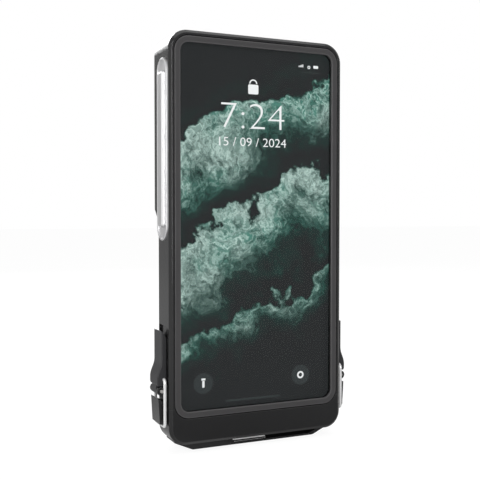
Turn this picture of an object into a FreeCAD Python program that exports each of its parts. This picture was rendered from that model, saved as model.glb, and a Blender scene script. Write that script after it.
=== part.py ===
"""Waterproof phone case, upright on its mounting foot.

The phone slides up into the housing from below. The end cap closes the pocket, seals on a
gasket under the housing's neck, and is pulled up by a draw latch on each side.

Every piece is drawn with Y = 0 on the front of the bezel and Z = 0 under the foot, and its
Placement then moves the middle of the depth to the origin. X runs across the window, +Z is up
and the window faces -Y. Millimetres and degrees.
"""
import FreeCAD
import Part
import Sketcher
import os

SIZES = [
    ("phone_width", 77.8, "largest phone that fits"),
    ("phone_height", 158.0, "largest phone that fits"),
    ("phone_thick", 8.1, "largest phone that fits"),
    ("phone_play", 0.6, "play at each side of the phone"),
    ("phone_slack", 0.6, "play in front of the back pad"),
    ("pocket_round", 1.2, "corner of the pocket's section"),
    ("pocket_head", 0.8, "pocket above the window opening"),
    ("head_wall", 4.5, "housing above the pocket"),
    ("gusset", 2.0, "slant in the pocket's top corners"),
    ("back_wall", 2.7, "housing behind the pocket"),
    ("bump_depth", 5.5, "how far the upper back stands out"),
    ("bump_height", 82.5, "bump, down from the top of the housing"),
    ("top_corner", 8.7, "radius of the housing's top corners"),
    ("cap_corner", 7.5, "radius of the cap's bottom corners"),
    ("front_bevel", 1.3, "bevel round the front outline"),
    ("back_round", 2.0, "round along the back outline"),
    ("parting_edge", 0.2, "bevel on the cap along the parting"),
    ("window_inset", 1.9, "phone hidden beside the window, each side"),
    ("window_lift", 0.4, "window opening above the foot of the phone"),
    ("window_spare", 0.8, "window opening taller than the phone"),
    ("window_corner", 3.8, "corner radius of the opening"),
    ("bezel_band", 2.7, "visible width of the bezel"),
    ("bezel_thick", 0.9, "bezel plate"),
    ("bezel_gap", 0.4, "shadow gap round the bezel"),
    ("bezel_edge", 0.2, "bevel on the bezel's inner edge"),
    ("pane_lap", 2.0, "pane hidden under the bezel"),
    ("pane_thick", 1.0, "touch window"),
    ("pane_play", 0.2, "play round the pane"),
    ("seal_thick", 0.5, "gasket behind the pane"),
    ("seal_width", 1.3, "width of that gasket"),
    ("ledge_thick", 1.0, "housing ledge that carries gasket and pane"),
    ("ledge_step", 0.5, "ledge opening outside the bezel opening"),
    ("panel_thick", 0.7, "lit display panel behind the ledge"),
    ("panel_play", 0.1, "play at each edge of the panel"),
    ("pad_thick", 0.8, "cushion on the pocket's back wall"),
    ("pad_inset", 8.9, "cushion narrower than the phone, each side"),
    ("pad_lift", 8.2, "cushion above the foot of the phone"),
    ("pad_height", 68.0, "cushion"),
    ("pad_groove", 1.6, "width of a groove in the cushion"),
    ("chamber_wall", 5.0, "side wall of the bump"),
    ("cap_floor", 8.2, "cap below its channel"),
    ("neck_wall", 1.4, "wall of the neck that enters the cap"),
    ("neck_length", 6.6, "neck below the parting"),
    ("neck_play", 0.15, "play between neck and cap"),
    ("face_seal", 1.3, "gasket under the neck"),
    ("seal_play", 0.1, "gap between a seal and what presses on it"),
    ("plug_height", 3.0, "cap's plug above the end of the neck"),
    ("plug_play", 0.2, "play between the cap's plug and the pocket"),
    ("rest_thick", 1.4, "rubber rest that the phone stands on"),
    ("rest_groove", 0.8, "width of a groove in that rest"),
    ("foot_height", 3.8, "foot below the cap"),
    ("foot_back", 0.3, "back of the foot in from the cap's back"),
    ("foot_wall", 1.45, "foot in front of and behind the bush"),
    ("foot_inset", 3.9, "end of the foot in from the cap's side"),
    ("foot_slant", 8.5, "how far a foot's end leans in"),
    ("foot_edge", 0.3, "bevel along the foot's lower edges"),
    ("lip_thick", 1.0, "foot below its slot"),
    ("slot_left", -11.9, "left end of the slot at its top"),
    ("slot_rim", 3.8, "foot beyond the slot's right end"),
    ("slot_slant", 2.1, "how far the left end leans in"),
    ("slot_lean", 6.1, "how far the right end leans in"),
    ("slot_depth", 5.5, "slot, front to back"),
    ("bush_bore", 6.35, "quarter inch tripod thread"),
    ("bush_rim", 0.875, "flange in front of and behind the thread"),
    ("bush_left", 12.4, "flange of the tripod bush, left of the thread"),
    ("bush_right", 5.85, "flange of the tripod bush, right of the thread"),
    ("bush_step", 1.3, "step in the flange's front, down from its top"),
    ("bush_ledge", 0.5, "depth of that step"),
    ("bush_wall", 1.575, "barrel round the thread"),
    ("bush_cover", 1.0, "cap above the barrel"),
    ("bush_floor", 0.8, "blind end of the tripod thread"),
    ("bush_entry", 0.65, "hole in the foot wider than the thread"),
    ("bush_shift", 0.3, "bush in front of the foot's middle"),
    ("bush_play", 0.1, "play round the flange"),
    ("screw_shank", 2.0, "foot screws"),
    ("screw_head", 3.6, "foot screws"),
    ("screw_sink", 1.0, "height of the sunk head"),
    ("screw_length", 8.0, "foot screws, under the head"),
    ("screw_lift", 0.2, "head above the foot's underside"),
    ("screw_inset", 4.8, "outer screws from the foot's end"),
    ("screw_gap", 0.8, "inner screws' heads from the bush's flange"),
    ("screw_edge", 2.8, "screws from the foot's back"),
    ("bar_length", 66.8, "push bar"),
    ("bar_width", 6.6, "push bar"),
    ("bar_proud", 1.8, "push bar above the side wall"),
    ("bar_round", 1.2, "round along the push bar"),
    ("bar_drop", 50.75, "middle of the push bar below the top"),
    ("plate_end", 5.95, "left plate beyond the bar's ends"),
    ("plate_side", 3.1, "left plate beyond the bar's sides"),
    ("button_length", 14.0, "power button"),
    ("button_width", 4.4, "power button"),
    ("button_proud", 1.5, "power button above the side wall"),
    ("button_round", 0.5, "round along the power button"),
    ("button_drop", 60.3, "middle of the power button below the top"),
    ("button_end", 8.0, "right plate beyond the button's ends"),
    ("button_side", 2.6, "right plate beyond the button's sides"),
    ("key_row", 7.8, "middle of both keys behind the bezel's front"),
    ("key_proud", 0.9, "plate rim above the side wall"),
    ("key_seat", 0.5, "plate below the side wall"),
    ("key_rim", 1.1, "raised rim of the plate"),
    ("key_dish", 0.5, "dish inside the rim"),
    ("key_play", 0.15, "play between a key and its plate"),
    ("key_flange", 0.5, "flange behind the plate"),
    ("flange_step", 1.2, "how far the flange reaches past the key"),
    ("key_travel", 0.6, "travel of a key"),
    ("key_sheet", 0.5, "rubber sheet behind the keys"),
    ("key_floor", 0.5, "housing wall behind that sheet"),
    ("tip_length", 9.0, "window for a button of the phone"),
    ("tip_width", 3.0, "window for a button of the phone"),
    ("tip_pitch", 16.0, "from one window to the next"),
    ("lens_clear", 36.0, "clear diameter of the camera window"),
    ("lens_lap", 2.5, "camera window under its ring"),
    ("ring_band", 4.8, "width of the ring's face"),
    ("ring_thick", 1.2, "retaining ring"),
    ("ring_edge", 0.4, "bevels of the ring"),
    ("lens_thick", 1.0, "camera window"),
    ("lens_seal", 0.4, "gasket under the camera window"),
    ("lens_ledge", 0.6, "ledge under that gasket"),
    ("lens_play", 0.2, "play round ring and pane"),
    ("camera_inset", 25.2, "middle of the camera window from the right side"),
    ("camera_drop", 28.3, "middle of the camera window below the top"),
    ("latch_front", 3.7, "front of the latches"),
    ("latch_width", 10.5, "latches, front to back"),
    ("pivot_out", 2.45, "pivot pin from the side wall"),
    ("pivot_rise", 7.4, "pivot pin above the parting"),
    ("pin_bore", 1.5, "diameter of the pivot pin"),
    ("pin_end", 0.3, "pin beyond each lug"),
    ("pin_play", 0.05, "radial play of the lever on its pin"),
    ("lug_wall", 1.2, "eye round the pin"),
    ("lug_width", 2.3, "one lug, front to back"),
    ("lug_root", 3.8, "foot of a lug below the pivot"),
    ("lug_play", 0.1, "play between lug and lever"),
    ("lever_reach", 25.8, "tip of the lever above the pivot"),
    ("lever_gap", 0.4, "lever above the lugs"),
    ("lever_inner", 0.35, "inner face of the lever from the side wall"),
    ("lever_outer", 2.4, "outer face of the handle from the side wall"),
    ("lever_nail", 2.8, "ramp behind the lever's tip"),
    ("bend_rise", 9.4, "where the handle turns out, above the lever's end"),
    ("belly_rise", 4.15, "upper end of the belly above the lever's end"),
    ("belly_foot", 0.85, "lower end of the belly above the lever's end"),
    ("belly_round", 8.0, "rounds where the handle turns out to the belly"),
    ("lever_edge", 0.3, "bevel on the lever's outer edges"),
    ("lever_hollow", 0.9, "hollow in the lever's inner face"),
    ("hollow_rim", 1.5, "rim round that hollow"),
    ("wire", 1.4, "diameter of the bail's wire"),
    ("wire_wall", 0.7, "gap between the bail's wire and the side wall"),
    ("wire_bend", 1.5, "bend radius at the wire's middle"),
    ("wire_gap", 0.6, "between wire and lever side"),
    ("wire_in", 1.3, "wire inside the lever"),
    ("wire_play", 0.06, "radial play of the wire in the lever"),
    ("bail_rise", 5.1, "bail's pivot above the lever's pivot"),
    ("bail_drop", 7.8, "cross wire below the parting"),
    ("catch_gap", 0.2, "cross wire below the catch"),
    ("catch_base", 3.3, "catch from the side wall, lower end"),
    ("catch_out", 3.9, "catch from the side wall, upper end"),
    ("catch_rise", 4.1, "upper end of the catch above the parting"),
    ("catch_slope", 1.9, "fall of the catch's top towards the wall"),
    ("catch_play", 0.4, "catch clear of the housing above the parting"),
    ("catch_pit", 2.0, "depth of the pit in the catch's front"),
    ("well_rise", 2.1, "finger well above the lever's tip"),
    ("well_drop", 0.15, "finger well below the lever's end"),
    ("well_depth", 0.9, "finger well"),
    ("well_rim", 1.0, "finger well beyond the lever, each side"),
]


class Size:
    """A length together with the sheet expression that gives it."""

    def __init__(self, text, value):
        self.text = text
        self.value = value

    def __add__(self, other):
        other = size(other)
        return Size(f"({self.text} + {other.text})", self.value + other.value)

    def __sub__(self, other):
        other = size(other)
        return Size(f"({self.text} - {other.text})", self.value - other.value)

    def __mul__(self, factor):
        return Size(f"({self.text} * {factor})", self.value * factor)

    def __truediv__(self, factor):
        return Size(f"({self.text} / {factor})", self.value / factor)

    def __neg__(self):
        return self * -1

    def __radd__(self, other):
        return size(other) + self

    def __rsub__(self, other):
        return size(other) - self

    __rmul__ = __mul__


def size(value):
    """Turn a plain number into a Size."""
    return value if isinstance(value, Size) else Size(repr(float(value)), float(value))


class Sizes:
    """The driving sizes, each one a cell of the sheet."""

    def __init__(self, doc):
        self.sheet = doc.addObject("Spreadsheet::Sheet", "Sizes")
        for row, (alias, value, note) in enumerate(SIZES, 1):
            self.sheet.set(f"A{row}", alias)
            self.sheet.set(f"B{row}", str(value))
            self.sheet.set(f"C{row}", note)
            self.sheet.setAlias(f"B{row}", alias)
            setattr(self, alias, Size(f"Sizes.{alias}", float(value)))


doc = FreeCAD.newDocument("phone_case")
s = Sizes(doc)
doc.recompute()

# across the case, from the middle
half_pocket = s.phone_width / 2 + s.phone_play
key_depth = s.key_seat + s.key_flange + s.key_travel + s.seal_play + s.key_sheet
side_wall = key_depth + s.key_floor
half_width = half_pocket + side_wall
half_window = s.phone_width / 2 - s.window_inset
bezel_out = half_window + s.bezel_band

# from the front to the back
pane_back = s.bezel_thick + s.pane_thick
ledge_front = pane_back + s.seal_thick
pocket_front = ledge_front + s.ledge_thick
pocket_back = pocket_front + s.panel_thick + s.phone_thick + s.phone_slack + s.pad_thick
body_depth = pocket_back + s.back_wall
full_depth = body_depth + s.bump_depth
latch_back = s.latch_front + s.latch_width

# from the table to the top
channel_floor = s.foot_height + s.cap_floor
neck_end = channel_floor + s.face_seal + s.seal_play
parting = neck_end + s.neck_length
plug_top = neck_end + s.plug_height
phone_base = plug_top + s.rest_thick
window_base = phone_base + s.window_lift
window_top = window_base + s.phone_height + s.window_spare
pocket_top = window_top + s.pocket_head
case_top = pocket_top + s.head_wall
bump_start = case_top - s.bump_height

# camera window
camera_x = half_width - s.camera_inset
camera_z = case_top - s.camera_drop
ring_radius = s.lens_clear / 2 + s.ring_band
pane_radius = s.lens_clear / 2 + s.lens_lap
chamber_back = s.ring_thick + s.lens_thick + s.lens_seal + s.lens_ledge

# keys and their plates
bar_middle = case_top - s.bar_drop
button_middle = case_top - s.button_drop
bar_plate = (s.bar_length + s.plate_end * 2, s.bar_width + s.plate_side * 2)
button_plate = (s.button_length + s.button_end * 2, s.button_width + s.button_side * 2)

# foot and tripod bush
bush_depth = s.bush_bore + s.bush_rim * 2
bush_flange = s.foot_height - s.lip_thick
barrel_radius = s.bush_bore / 2 + s.bush_wall
foot_depth = bush_depth + s.foot_wall * 2
foot_front = body_depth - s.foot_back - foot_depth
foot_top = half_width - s.foot_inset
foot_base = foot_top - s.foot_slant
bush_row = foot_front + foot_depth / 2 - s.bush_shift
bush_length = s.cap_floor - s.bush_cover
screw_row = foot_front + foot_depth - s.screw_edge
screw_far = foot_base - s.screw_inset
screw_near = s.bush_left + s.screw_gap + s.screw_head / 2

# draw latches
pivot_height = parting + s.pivot_rise
lug_radius = s.pin_bore / 2 + s.lug_wall
belly_out = s.pivot_out + lug_radius
lever_end = pivot_height + lug_radius + s.lever_gap
lever_top = pivot_height + s.lever_reach
bend_height = lever_end + s.bend_rise
bail_top = pivot_height + s.bail_rise
bail_foot = parting - s.bail_drop
bail_out = s.wire_wall + s.wire / 2
cross_wire_top = bail_foot + s.wire / 2
catch_top = parting + s.catch_rise

PLANES = {"XY": "XY_Plane", "XZ": "XZ_Plane", "YZ": "YZ_Plane"}
LEAN = (0.5, 0.866)


def new_body(name):
    """A body with the name of its piece, moved so that the origin is in the middle of the depth."""
    body = doc.addObject("PartDesign::Body", name)
    body.Label = name
    body.setExpression("Placement.Base.y", (-full_depth / 2).text)
    return body


def new_sketch(body, plane, level=0.0):
    """A sketch on one of the body's own planes, moved along the plane's axis to the level."""
    sketch = body.newObject("Sketcher::SketchObject", f"{body.Name}_{plane}")
    role = PLANES[plane]
    support = next(part for part in body.Origin.OriginFeatures if part.Role == role)
    sketch.AttachmentSupport = [(support, "")]
    sketch.MapMode = "FlatFace"
    level = size(level)
    offset = -level if plane == "XZ" else level
    sketch.setExpression("AttachmentOffset.Base.z", offset.text)
    return sketch


def pin(sketch, kind, geometry, point, value):
    """Fix a point's distance from the sketch's origin along one axis."""
    value = size(value)
    index = sketch.addConstraint(Sketcher.Constraint(kind, -1, 1, geometry, point, value.value))
    sketch.setExpression(f"Constraints[{index}]", value.text)


def draw_polygon(sketch, corners):
    """A closed outline with straight sides, every corner fixed by the sheet."""
    spots = [FreeCAD.Vector(size(x).value, size(z).value, 0) for x, z in corners]
    first = sketch.GeometryCount
    count = len(spots)
    for index in range(count):
        sketch.addGeometry(Part.LineSegment(spots[index], spots[(index + 1) % count]), False)
    for index in range(count):
        after = first + (index + 1) % count
        sketch.addConstraint(Sketcher.Constraint("Coincident", first + index, 2, after, 1))
    for index, (x, z) in enumerate(corners):
        pin(sketch, "DistanceX", first + index, 1, x)
        pin(sketch, "DistanceY", first + index, 1, z)


def draw_circle(sketch, x, z, radius):
    """A circle fixed by its centre and radius."""
    x, z, radius = size(x), size(z), size(radius)
    shape = Part.Circle(FreeCAD.Vector(x.value, z.value, 0), FreeCAD.Vector(0, 0, 1), radius.value)
    index = sketch.addGeometry(shape, False)
    pin(sketch, "DistanceX", index, 3, x)
    pin(sketch, "DistanceY", index, 3, z)
    limit = sketch.addConstraint(Sketcher.Constraint("Radius", index, radius.value))
    sketch.setExpression(f"Constraints[{limit}]", radius.text)


def draw_rectangle(sketch, left, right, low, high, round_low=None, round_high=None):
    """A rectangle whose lower and upper corners may be rounded."""
    left, right, low, high = size(left), size(right), size(low), size(high)
    corners = [(left, low, round_low), (right, low, round_low), (right, high, round_high), (left, high, round_high)]
    steps = [(1, 0), (0, 1), (-1, 0), (0, -1)]
    starts = []
    ends = []
    for index, (x, z, radius) in enumerate(corners):
        reach = size(radius).value if radius is not None else 0.0
        ahead = steps[index]
        behind = steps[index - 1]
        starts.append(FreeCAD.Vector(x.value + ahead[0] * reach, z.value + ahead[1] * reach, 0))
        ends.append(FreeCAD.Vector(x.value - behind[0] * reach, z.value - behind[1] * reach, 0))
    lines = []
    for index in range(4):
        line = sketch.addGeometry(Part.LineSegment(starts[index], ends[(index + 1) % 4]), False)
        sketch.addConstraint(Sketcher.Constraint("Vertical" if index % 2 else "Horizontal", line))
        lines.append(line)
    for kind, line, value in zip(("DistanceY", "DistanceX", "DistanceY", "DistanceX"), lines, (low, right, high, left)):
        pin(sketch, kind, line, 1, value)
    for index, (x, z, radius) in enumerate(corners):
        before, after = lines[index - 1], lines[index]
        if radius is None:
            sketch.addConstraint(Sketcher.Constraint("Coincident", before, 2, after, 1))
            continue
        radius = size(radius)
        centre = FreeCAD.Vector(
            x.value + (steps[index][0] - steps[index - 1][0]) * radius.value,
            z.value + (steps[index][1] - steps[index - 1][1]) * radius.value,
            0,
        )
        start, end = ends[index] - centre, starts[index] - centre
        middle = centre + (start + end) * (radius.value / (start + end).Length)
        arc = sketch.addGeometry(Part.Arc(ends[index], middle, starts[index]), False)
        sketch.addConstraint(Sketcher.Constraint("Tangent", before, 2, arc, 1))
        sketch.addConstraint(Sketcher.Constraint("Tangent", arc, 2, after, 1))
        limit = sketch.addConstraint(Sketcher.Constraint("Radius", arc, radius.value))
        sketch.setExpression(f"Constraints[{limit}]", radius.text)


def draw_obround(sketch, x, z, length, width):
    """A slot shape standing along the sketch's second axis."""
    x, z, half, radius = size(x), size(z), size(length) / 2, size(width) / 2
    low, high = z - half + radius, z + half - radius
    right, left = x + radius, x - radius
    bottom = FreeCAD.Vector(x.value, (z - half).value, 0)
    top = FreeCAD.Vector(x.value, (z + half).value, 0)
    corner = [
        FreeCAD.Vector(right.value, low.value, 0),
        FreeCAD.Vector(right.value, high.value, 0),
        FreeCAD.Vector(left.value, high.value, 0),
        FreeCAD.Vector(left.value, low.value, 0),
    ]
    first = sketch.GeometryCount
    sketch.addGeometry(Part.LineSegment(corner[0], corner[1]), False)
    sketch.addGeometry(Part.Arc(corner[1], top, corner[2]), False)
    sketch.addGeometry(Part.LineSegment(corner[2], corner[3]), False)
    sketch.addGeometry(Part.Arc(corner[3], bottom, corner[0]), False)
    for index in range(4):
        sketch.addConstraint(Sketcher.Constraint("Tangent", first + index, 2, first + (index + 1) % 4, 1))
    for arc, level in ((first + 1, high), (first + 3, low)):
        pin(sketch, "DistanceX", arc, 3, x)
        pin(sketch, "DistanceY", arc, 3, level)
    limit = sketch.addConstraint(Sketcher.Constraint("Radius", first + 1, radius.value))
    sketch.setExpression(f"Constraints[{limit}]", radius.text)


def pad(sketch, depth):
    """Add material from the sketch along its axis."""
    body = sketch.getParentGeoFeatureGroup()
    feature = body.newObject("PartDesign::Pad", f"{sketch.Name}_pad")
    feature.Profile = sketch
    feature.setExpression("Length", size(depth).text)
    feature.Reversed = "XZ" in sketch.Name
    doc.recompute()
    return feature


def cut(sketch, depth):
    """Take material away from the sketch along its axis, and make sure that some went."""
    body = sketch.getParentGeoFeatureGroup()
    before = body.Shape.Volume
    feature = body.newObject("PartDesign::Pocket", f"{sketch.Name}_cut")
    feature.Profile = sketch
    feature.setExpression("Length", size(depth).text)
    feature.Reversed = "XZ" not in sketch.Name
    doc.recompute()
    if body.Shape.Volume >= before - 1e-6:
        raise RuntimeError(f"{feature.Name} takes nothing away")
    return feature


def dress(body, kind, amount, wanted):
    """Bevel or round the edges of the body's last solid that pass the test."""
    base = body.Tip
    names = [f"Edge{index}" for index, edge in enumerate(base.Shape.Edges, 1) if wanted(edge)]
    if not names:
        raise RuntimeError(f"no edge found on {body.Name}")
    feature = body.newObject(f"PartDesign::{kind}", f"{body.Name}_{kind}")
    feature.Base = (base, names)
    feature.setExpression("Size" if kind == "Chamfer" else "Radius", size(amount).text)
    base.Visibility = False
    doc.recompute()
    return feature


def on_level(edge, axis, level):
    """True when both ends of an edge and its middle lie on one level of an axis."""
    box = edge.BoundBox
    low, high = {"X": (box.XMin, box.XMax), "Y": (box.YMin, box.YMax), "Z": (box.ZMin, box.ZMax)}[axis]
    return abs(low - size(level).value) < 1e-4 and abs(high - size(level).value) < 1e-4


def side_x(side, out):
    """X of a place that lies the given distance outside one side wall."""
    return (half_width + out) * side


def draw_outward(sketch, side, corners):
    """A polygon given by distance from the side wall and height."""
    draw_polygon(sketch, [(side_x(side, size(out)), height) for out, height in corners])


def cut_wall(body, side, inner, outer, draw):
    """Cut the side wall between two distances from its face, with the outline that draw makes."""
    level = side_x(side, inner) if side > 0 else side_x(side, outer)
    sketch = new_sketch(body, "YZ", level)
    draw(sketch)
    return cut(sketch, size(outer) - size(inner))


def pad_wall(body, side, inner, outer, draw):
    """Add a slice between two distances from a side wall's face, with the outline that draw makes."""
    level = side_x(side, inner) if side > 0 else side_x(side, outer)
    sketch = new_sketch(body, "YZ", level)
    draw(sketch)
    return pad(sketch, size(outer) - size(inner))


def box_loop(sketch, grow, radius):
    """The pocket's section, grown by a distance."""
    draw_rectangle(
        sketch,
        -half_pocket - grow,
        half_pocket + grow,
        pocket_front - grow,
        pocket_back + grow,
        radius,
        radius,
    )


def bezel_loop(sketch, grow):
    """The bezel's outline, grown by a distance."""
    draw_rectangle(
        sketch,
        -bezel_out - grow,
        bezel_out + grow,
        window_base - s.bezel_band - grow,
        window_top + s.bezel_band + grow,
        s.window_corner + s.bezel_band + grow,
        s.window_corner + s.bezel_band + grow,
    )


def window_loop(sketch, grow):
    """The window opening, grown by a distance."""
    draw_rectangle(
        sketch,
        -half_window - grow,
        half_window + grow,
        window_base - grow,
        window_top + grow,
        s.window_corner + grow,
        s.window_corner + grow,
    )


# Housing

def housing_outside(body):
    """The outer block with its bump, bevelled in front and rounded behind."""
    sketch = new_sketch(body, "XZ", 0)
    draw_rectangle(sketch, -half_width, half_width, parting, case_top, None, s.top_corner)
    pad(sketch, body_depth)
    sketch = new_sketch(body, "XZ", body_depth)
    draw_rectangle(sketch, -half_width, half_width, bump_start, case_top, None, s.top_corner)
    pad(sketch, s.bump_depth)
    sketch = new_sketch(body, "YZ", -half_width)
    draw_polygon(sketch, [
        (body_depth, bump_start),
        (full_depth, bump_start),
        (full_depth, bump_start + s.bump_depth),
    ])
    cut(sketch, half_width * 2)
    dress(body, "Chamfer", s.front_bevel,
          lambda edge: on_level(edge, "Y", 0) and not on_level(edge, "Z", parting))
    side = half_width.value

    def along_back(edge):
        box = edge.BoundBox
        beside = abs(abs(box.XMin) - side) < 1e-4 and abs(abs(box.XMax) - side) < 1e-4
        behind = box.YMin > body_depth.value - 1e-4
        over = on_level(edge, "Y", full_depth) and not on_level(edge, "Z", bump_start + s.bump_depth)
        return behind and (over or (beside and box.ZLength > 1.0 and box.XLength < 1e-4))
    dress(body, "Fillet", s.back_round, along_back)


def housing_neck(body):
    """The neck that enters the cap, and the tongue behind the bezel's lower end."""
    sketch = new_sketch(body, "XY", neck_end)
    box_loop(sketch, s.neck_wall, s.pocket_round + s.neck_wall)
    pad(sketch, s.neck_length + s.neck_wall)
    sketch = new_sketch(body, "XZ", s.bezel_thick)
    draw_rectangle(sketch, -bezel_out, bezel_out, window_base - s.bezel_band, parting + s.bezel_band,
                   s.window_corner + s.bezel_band, None)
    pad(sketch, pocket_front - s.bezel_thick)


def housing_inside(body):
    """The phone pocket, the chamber in the bump and the seats for window and bezel."""
    sketch = new_sketch(body, "XY", neck_end - s.neck_wall)
    box_loop(sketch, 0, s.pocket_round)
    cut(sketch, pocket_top - neck_end + s.neck_wall)
    for side in (-1, 1):
        sketch = new_sketch(body, "XZ", pocket_front)
        wall = half_pocket + s.key_floor
        roof = pocket_top + s.key_floor
        draw_polygon(sketch, [
            (half_pocket * side, pocket_top - s.gusset),
            (wall * side, pocket_top - s.gusset),
            (wall * side, roof),
            ((half_pocket - s.gusset) * side, roof),
            ((half_pocket - s.gusset) * side, pocket_top),
        ])
        pad(sketch, pocket_back - pocket_front)
    sketch = new_sketch(body, "XZ", pocket_back - s.pocket_round)
    low, high = bump_start + s.bump_depth + s.chamber_wall, pocket_top
    reach = half_width - s.chamber_wall
    draw_rectangle(sketch, -reach, reach, low, high, s.pocket_round, s.pocket_round)
    cut(sketch, full_depth - chamber_back - pocket_back + s.pocket_round)
    sketch = new_sketch(body, "XZ", 0)
    window_loop(sketch, s.ledge_step)
    cut(sketch, pocket_front + s.ledge_step)
    sketch = new_sketch(body, "XZ", 0)
    window_loop(sketch, s.pane_lap + s.pane_play)
    cut(sketch, ledge_front)
    sketch = new_sketch(body, "XZ", 0)
    bezel_loop(sketch, s.bezel_gap)
    cut(sketch, s.bezel_thick)


def key_seat(body, side, middle, plate, inner_length, inner_width):
    """The seat of a key's plate, and the deeper pocket for its flange and rubber sheet."""
    cut_wall(body, side, -s.key_seat, 0, lambda sketch: draw_obround(sketch, s.key_row, middle, *plate))
    cut_wall(body, side, -key_depth, -s.key_seat,
             lambda sketch: draw_obround(sketch, s.key_row, middle, inner_length, inner_width))


def tip_windows(body, side, middle, places):
    """Openings through the side wall, one in front of each button of the phone."""
    for place in places:
        height = middle + s.tip_pitch * place
        cut_wall(body, side, -side_wall - s.pocket_round, 0,
                 lambda sketch: draw_obround(sketch, s.key_row, height, s.tip_length, s.tip_width))


def camera_seat(body):
    """Stepped seat for ring, pane and gasket in the back of the bump."""
    steps = [
        (ring_radius + s.lens_play, full_depth - s.ring_thick, s.ring_thick),
        (pane_radius + s.lens_play, full_depth - s.ring_thick - s.lens_thick - s.lens_seal,
         s.lens_thick + s.lens_seal),
        (s.lens_clear / 2, full_depth - chamber_back - s.pocket_round, chamber_back),
    ]
    for radius, level, depth in steps:
        sketch = new_sketch(body, "XZ", level)
        draw_circle(sketch, camera_x, camera_z, radius)
        cut(sketch, depth)


def finger_well(body, side):
    """Shallow well in the side wall behind the lever."""
    low, high = s.latch_front - s.well_rim, latch_back + s.well_rim - s.back_round / 2
    base, top = lever_end - s.well_drop, lever_top + s.well_rise
    cut_wall(body, side, -s.well_depth, belly_out,
             lambda sketch: draw_rectangle(sketch, low, high, base, top, s.well_rim, s.well_rim))


def latch_lugs(body, side):
    """Two lugs with an eye round the pivot pin."""
    for level in (s.latch_front, latch_back - s.lug_width):
        sketch = new_sketch(body, "XZ", level)
        draw_outward(sketch, side, [
            (-s.well_depth - s.lug_play, pivot_height - s.lug_root),
            (0, pivot_height - s.lug_root),
            (s.pivot_out + lug_radius * LEAN[0], pivot_height - lug_radius * LEAN[1]),
            (s.pivot_out, pivot_height + lug_radius),
            (-s.well_depth - s.lug_play, pivot_height + lug_radius),
        ])
        pad(sketch, s.lug_width)
        sketch = new_sketch(body, "XZ", level)
        draw_circle(sketch, side_x(side, s.pivot_out), pivot_height, lug_radius)
        pad(sketch, s.lug_width)
    sketch = new_sketch(body, "XZ", s.latch_front)
    draw_circle(sketch, side_x(side, s.pivot_out), pivot_height, s.pin_bore / 2)
    cut(sketch, s.latch_width)


def housing_shell():
    body = new_body("housing_shell")
    housing_outside(body)
    housing_neck(body)
    housing_inside(body)
    step = s.flange_step * 2 + s.key_play * 2
    key_seat(body, -1, bar_middle, bar_plate, s.bar_length + step, s.bar_width + step)
    tip_windows(body, -1, bar_middle, (-1, 0, 1))
    key_seat(body, 1, button_middle, button_plate, s.button_length + step, s.button_width + step)
    tip_windows(body, 1, button_middle, (0,))
    camera_seat(body)
    for side in (-1, 1):
        finger_well(body, side)
        latch_lugs(body, side)
    return body


# Window group

def front_bezel():
    body = new_body("front_bezel")
    sketch = new_sketch(body, "XZ", 0)
    bezel_loop(sketch, 0)
    window_loop(sketch, 0)
    pad(sketch, s.bezel_thick)
    inner = half_window.value + 1e-3
    top, low = window_top.value + 1e-3, window_base.value - 1e-3

    def inner_edge(edge):
        box = edge.BoundBox
        inside = box.XMin > -inner and box.XMax < inner and box.ZMin > low and box.ZMax < top
        return on_level(edge, "Y", 0) and inside
    dress(body, "Chamfer", s.bezel_edge, inner_edge)
    return body


def touch_window():
    body = new_body("touch_window")
    sketch = new_sketch(body, "XZ", s.bezel_thick)
    window_loop(sketch, s.pane_lap)
    pad(sketch, s.pane_thick)
    return body


def window_gasket():
    body = new_body("window_gasket")
    sketch = new_sketch(body, "XZ", pane_back)
    window_loop(sketch, s.pane_lap)
    window_loop(sketch, s.pane_lap - s.seal_width)
    pad(sketch, s.seal_thick)
    return body


def screen_panel():
    """Lit panel that stands for the display of the phone inside."""
    body = new_body("screen_panel")
    sketch = new_sketch(body, "XZ", pocket_front)
    reach = half_pocket - s.pocket_round - s.panel_play
    draw_rectangle(sketch, -reach, reach, phone_base + s.panel_play, pocket_top - s.panel_play,
                   s.window_corner, s.window_corner)
    pad(sketch, s.panel_thick)
    return body


def back_pad():
    body = new_body("back_pad")
    sketch = new_sketch(body, "XZ", pocket_back - s.pad_thick)
    half_pad, pad_base = s.phone_width / 2 - s.pad_inset, phone_base + s.pad_lift
    draw_rectangle(sketch, -half_pad, half_pad, pad_base, pad_base + s.pad_height,
                   s.window_corner, s.window_corner)
    pad(sketch, s.pad_thick)
    for place in (-2, -1, 0, 1, 2):
        sketch = new_sketch(body, "XZ", pocket_back - s.pad_thick)
        draw_obround(sketch, half_pad / 3 * place, pad_base + s.pad_height / 2,
                     s.pad_height - s.window_corner * 2, s.pad_groove)
        cut(sketch, s.pad_thick / 2)
    return body


# Camera window

def camera_disc(name, level, thick, radius, bore=None):
    """A disc or ring on the camera's axis."""
    body = new_body(name)
    sketch = new_sketch(body, "XZ", level)
    draw_circle(sketch, camera_x, camera_z, radius)
    if bore is not None:
        draw_circle(sketch, camera_x, camera_z, bore)
    pad(sketch, thick)
    return body


def camera_ring():
    body = camera_disc("camera_ring", full_depth - s.ring_thick, s.ring_thick,
                       ring_radius, s.lens_clear / 2)
    dress(body, "Chamfer", s.ring_edge, lambda edge: on_level(edge, "Y", full_depth))
    return body


def camera_window():
    level = full_depth - s.ring_thick - s.lens_thick
    return camera_disc("camera_window", level, s.lens_thick, pane_radius)


def camera_gasket():
    level = full_depth - s.ring_thick - s.lens_thick - s.lens_seal
    return camera_disc("camera_gasket", level, s.lens_seal, pane_radius, s.lens_clear / 2)


# Keys in the side walls

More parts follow.
